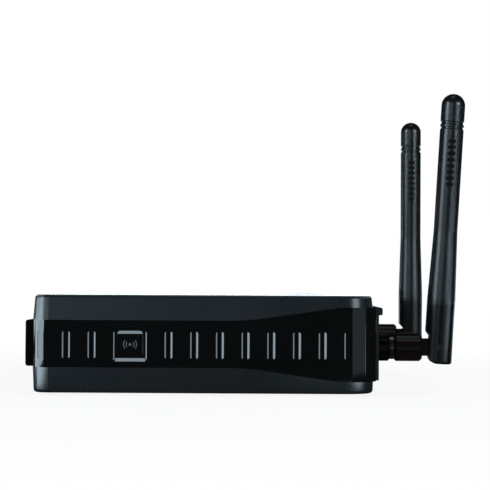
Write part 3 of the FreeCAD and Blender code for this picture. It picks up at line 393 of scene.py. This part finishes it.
# Square lamps that light the object but aren't mirrored by it: where each one is, and its radiance.
LAMPS = {
    "key": ((0.35, -0.5, 0.6), 1.6),
    "fill": ((0.3, 0.5, 0.5), 1.2),
    "rear_fill": ((-0.5, 0.4, 0.5), 1.2),
}
LAMP_SIZE = 0.5
LAMPS_FACE = (0.0, 0.0, 0.02)

# Soft boxes far away: radiance, azimuth from and to, elevation from and to in degrees, colour, and the nodes
# that they light. Azimuth 0 is +X and 90 is +Y.
BOX_DISTANCE = 4.0
FAR_BOXES = {
    "left_box": (3.4, -75, -47, 6, 30, SKY, EVERYTHING),
    "right_box": (4.0, 30, 57, 7, 26, SKY, EVERYTHING),
    "back_sky": (0.7, 140, 220, 22, 62, SKY, TOP_AND_LEFT),
    "backdrop": (3.4, 161, 199, 0, 14, NEAR_WHITE, TOP),
    "front_sky": (0.7, -128, -86, 18, 60, SKY, TOP),
    "rear_sky": (0.35, 80, 128, 18, 60, SKY, TOP),
}

# Cards near the object: where each one is, what it faces, its width and height, radiance, colour and the
# nodes that it lights.
CARDS = {
    "front_card": ((0.159, -0.215, 0.03), (0.159, 0.0, 0.03), 0.275, 0.059, 3.4, SKY, CASE),
    "front_low": ((0.123, -0.139, 0.0005), (0.123, -0.139, 1.0), 0.093, 0.122, 4.5, SKY, BOTTOM),
    "rear_low": ((0.124, 0.114, 0.0005), (0.124, 0.114, 1.0), 0.072, 0.092, 2.8, SKY, BOTTOM),
    "button_card": ((0.81, -0.083, 0.345), (0.08, -0.025, 0.017), 0.2, 0.07, 2.9, SKY, BUTTON),
    "elbow_card": ((0.3, 0.1, 0.42), (0.063, 0.07, 0.017), 0.3, 0.15, 0.5, WARM, ELBOWS),
}

# Glows that only reflections see: radiance, azimuth from, to and softness, elevation from, to and softness.
GLOWS = (
    (0.8, -36, -10, 7, 2, 24, 5),
    (0.5, -200, 200, 1, 78, 100, 3),
)
DIFFUSE_LIGHT = 0.3

FLOOR_REACH = 6.0
FLOOR_GREY = (0.9, 0.9, 0.9)
# Share of plain white in the floor, close to its middle and further out, and those two distances.
WHITE_SHARE = (0.9, 1.0)
WHITE_SHARE_AT = (0.12, 0.4)
# Bright fans on the floor that reflections see, round the middle of the +X side: radiance, azimuth from and
# to in degrees, and distance from and to.
FANS = (
    (2.3, 60, 85, 0.2, 1.0),
    (0.22, 30, 57, 0.05, 6.0),
)
FAN_SOFT = 1.5
FAN_END_SOFT = 0.02
SIDE_X = CAD_BOX[1][0]
# Two bright patches at the -X side. The first one fades out over these ranges. The second one's numbers are
# from, to and softness.
BEHIND_GLOW = 2.0
BEHIND_X = (-0.4, -0.2)
BEHIND_Y = (0.6, 0.9)
BESIDE_GLOW = 0.4
BESIDE_X = (-0.3, -0.04, 0.03)
BESIDE_Y = (-0.3, 0.3, 0.05)


def area_light(name, at, facing, width, height, radiance, colour, mirrored=True, only=EVERYTHING):
    """Rectangular light. With only, it lights no more than the nodes named there."""
    data = bpy.data.lights.new(name, "AREA")
    data.shape = "RECTANGLE"
    data.size = width
    data.size_y = height
    data.energy = radiance * math.pi * width * height
    data.color = colour
    light = bpy.data.objects.new(name, data)
    light.location = at
    light.rotation_euler = (Vector(facing) - Vector(at)).to_track_quat("-Z", "Y").to_euler()
    light.visible_camera = False
    light.visible_glossy = mirrored
    bpy.context.scene.collection.objects.link(light)
    if only:
        receivers = bpy.data.collections.new(name + "_receivers")
        for node in only:
            receivers.objects.link(NODES[node])
        light.light_linking.receiver_collection = receivers


def far_box(name, radiance, start, end, low, high, colour, only):
    """Soft box that spans these azimuths and elevations as seen from the object."""
    azimuth, elevation = math.radians((start + end) / 2), math.radians((low + high) / 2)
    level = math.cos(elevation)
    towards = Vector((level * math.cos(azimuth), level * math.sin(azimuth), math.sin(elevation)))
    width = 2 * BOX_DISTANCE * math.tan(math.radians(end - start) / 2)
    height = 2 * BOX_DISTANCE * math.tan(math.radians(high - low) / 2)
    area_light(name, towards * BOX_DISTANCE, (0, 0, 0), width, height, radiance, colour, only=only)


def make_lights():
    for name, (at, radiance) in LAMPS.items():
        area_light(name, at, LAMPS_FACE, LAMP_SIZE, LAMP_SIZE, radiance, WHITE, mirrored=False)
    for name, box in FAR_BOXES.items():
        far_box(name, *box)
    for name, (at, facing, width, height, radiance, colour, only) in CARDS.items():
        area_light(name, at, facing, width, height, radiance, colour, only=only)


def make_world():
    """White to the camera, a dim sky to diffuse light, and dark with soft glows to reflections."""
    world = bpy.data.worlds.new("studio")
    bpy.context.scene.world = world
    world.use_nodes = True
    world.cycles.sampling_method = "NONE"
    t = Tree(world.node_tree)
    x, y, z = t.split(t.add("ShaderNodeTexCoord").outputs["Generated"])
    azimuth = t.math("DEGREES", t.math("ARCTAN2", y, x))
    elevation = t.math("DEGREES", t.math("ARCSINE", z))
    mirrored = DARK
    for radiance, start, end, soft_side, low, high, soft_up in GLOWS:
        sideways = t.window(azimuth, start, end, soft_side)
        upwards = t.window(elevation, low, high, soft_up)
        glow = t.math("MULTIPLY", sideways, upwards)
        mirrored = t.math("MULTIPLY_ADD", glow, radiance, mirrored)

    def background(strength, colour):
        node = t.add("ShaderNodeBackground")
        t.plug(node.inputs["Strength"], strength)
        t.plug(node.inputs["Color"], colour)
        return node.outputs[0]

    path = t.add("ShaderNodeLightPath")
    shader = background(1.0, WHITE)
    for ray, strength in (("Is Glossy Ray", mirrored), ("Is Diffuse Ray", DIFFUSE_LIGHT)):
        shader = t.blend_shaders(path.outputs[ray], shader, background(strength, SKY))
    t.link(shader, t.add("ShaderNodeOutputWorld").inputs[0])


def floor_glow(t):
    """Radiance of the floor in reflections: dark, with fans at its +X side and two patches at its -X side."""
    x, y, z = t.split(t.position())
    side_x = t.math("SUBTRACT", x, SIDE_X)
    azimuth = t.math("DEGREES", t.math("ARCTAN2", y, side_x))
    distance = t.length(y, side_x)
    radiance = DARK
    for strength, start, end, near, far in FANS:
        across = t.window(azimuth, start, end, FAN_SOFT)
        fan = t.math("MULTIPLY", across, t.window(distance, near, far, FAN_END_SOFT))
        radiance = t.math("MULTIPLY_ADD", fan, strength, radiance)
    far_left = t.ramp(x, 1.0, 0.0, *BEHIND_X, smooth=True)
    behind = t.math("MULTIPLY", far_left, t.ramp(y, 1.0, 0.0, *BEHIND_Y, smooth=True))
    radiance = t.math("MULTIPLY_ADD", behind, BEHIND_GLOW, radiance)
    beside = t.math("MULTIPLY", t.window(x, *BESIDE_X), t.window(y, *BESIDE_Y))
    return t.math("MULTIPLY_ADD", beside, BESIDE_GLOW, radiance)


def make_floor():
    """Pale floor that fades to white in the distance, with its own look in reflections."""
    mesh = bpy.data.meshes.new("floor")
    corners = [(-1, -1), (1, -1), (1, 1), (-1, 1)]
    mesh.from_pydata([(x * FLOOR_REACH, y * FLOOR_REACH, 0) for x, y in corners], [], [(0, 1, 2, 3)])
    floor = bpy.data.objects.new("floor", mesh)
    bpy.context.scene.collection.objects.link(floor)
    material, t = new_material("pale_floor")

    def emission(strength, colour):
        node = t.add("ShaderNodeEmission")
        t.plug(node.inputs["Strength"], strength)
        t.plug(node.inputs["Color"], colour)
        return node.outputs[0]

    matt = t.add("ShaderNodeBsdfDiffuse")
    t.plug(matt.inputs["Color"], FLOOR_GREY)
    distance = t.add("ShaderNodeVectorMath", operation="LENGTH")
    t.link(t.position(), distance.inputs[0])
    fade = t.ramp(distance.outputs["Value"], *WHITE_SHARE, *WHITE_SHARE_AT, smooth=True)
    seen = t.blend_shaders(fade, matt.outputs[0], emission(1.0, WHITE))
    path = t.add("ShaderNodeLightPath")
    t.finish(t.blend_shaders(path.outputs["Is Glossy Ray"], seen, emission(floor_glow(t), SKY)))
    material.cycles.emission_sampling = "NONE"
    mesh.materials.append(material)


make_camera()
make_floor()
make_world()
make_lights()
dress_nodes()
bpy.context.scene.view_settings.view_transform = "Standard"
